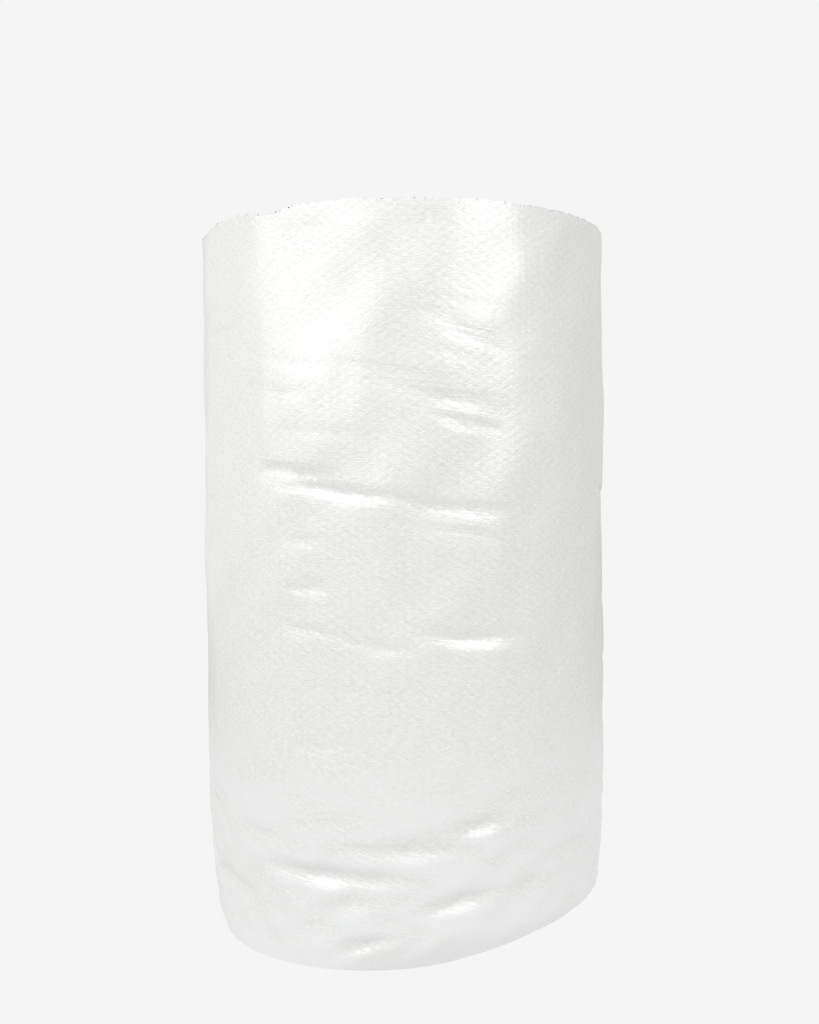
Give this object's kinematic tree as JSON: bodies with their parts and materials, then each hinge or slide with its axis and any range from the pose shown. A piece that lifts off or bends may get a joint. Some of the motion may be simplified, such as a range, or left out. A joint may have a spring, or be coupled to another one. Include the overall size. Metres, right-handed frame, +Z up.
{
  "type": "air bubble film roll",
  "caption": "Tall roll of clear air bubble film, wound flat side out round a bare winding hole and standing on one end.",
  "frame": {"origin": "where the winding axis meets the floor that the roll stands on", "axes": "+Z up the winding axis; the side that is creased the most faces -Y; the film's free edge runs up the back, at +Y"},
  "size_m": [0.5967, 0.5984, 1],
  "materials": {
    "bubble_film": "clear polyethylene film, milky where many turns lie on each other, glossy"
  },
  "bodies": {
    "root": {"bubble_film_roll": "bubble_film"}
  },
  "joints": []
}
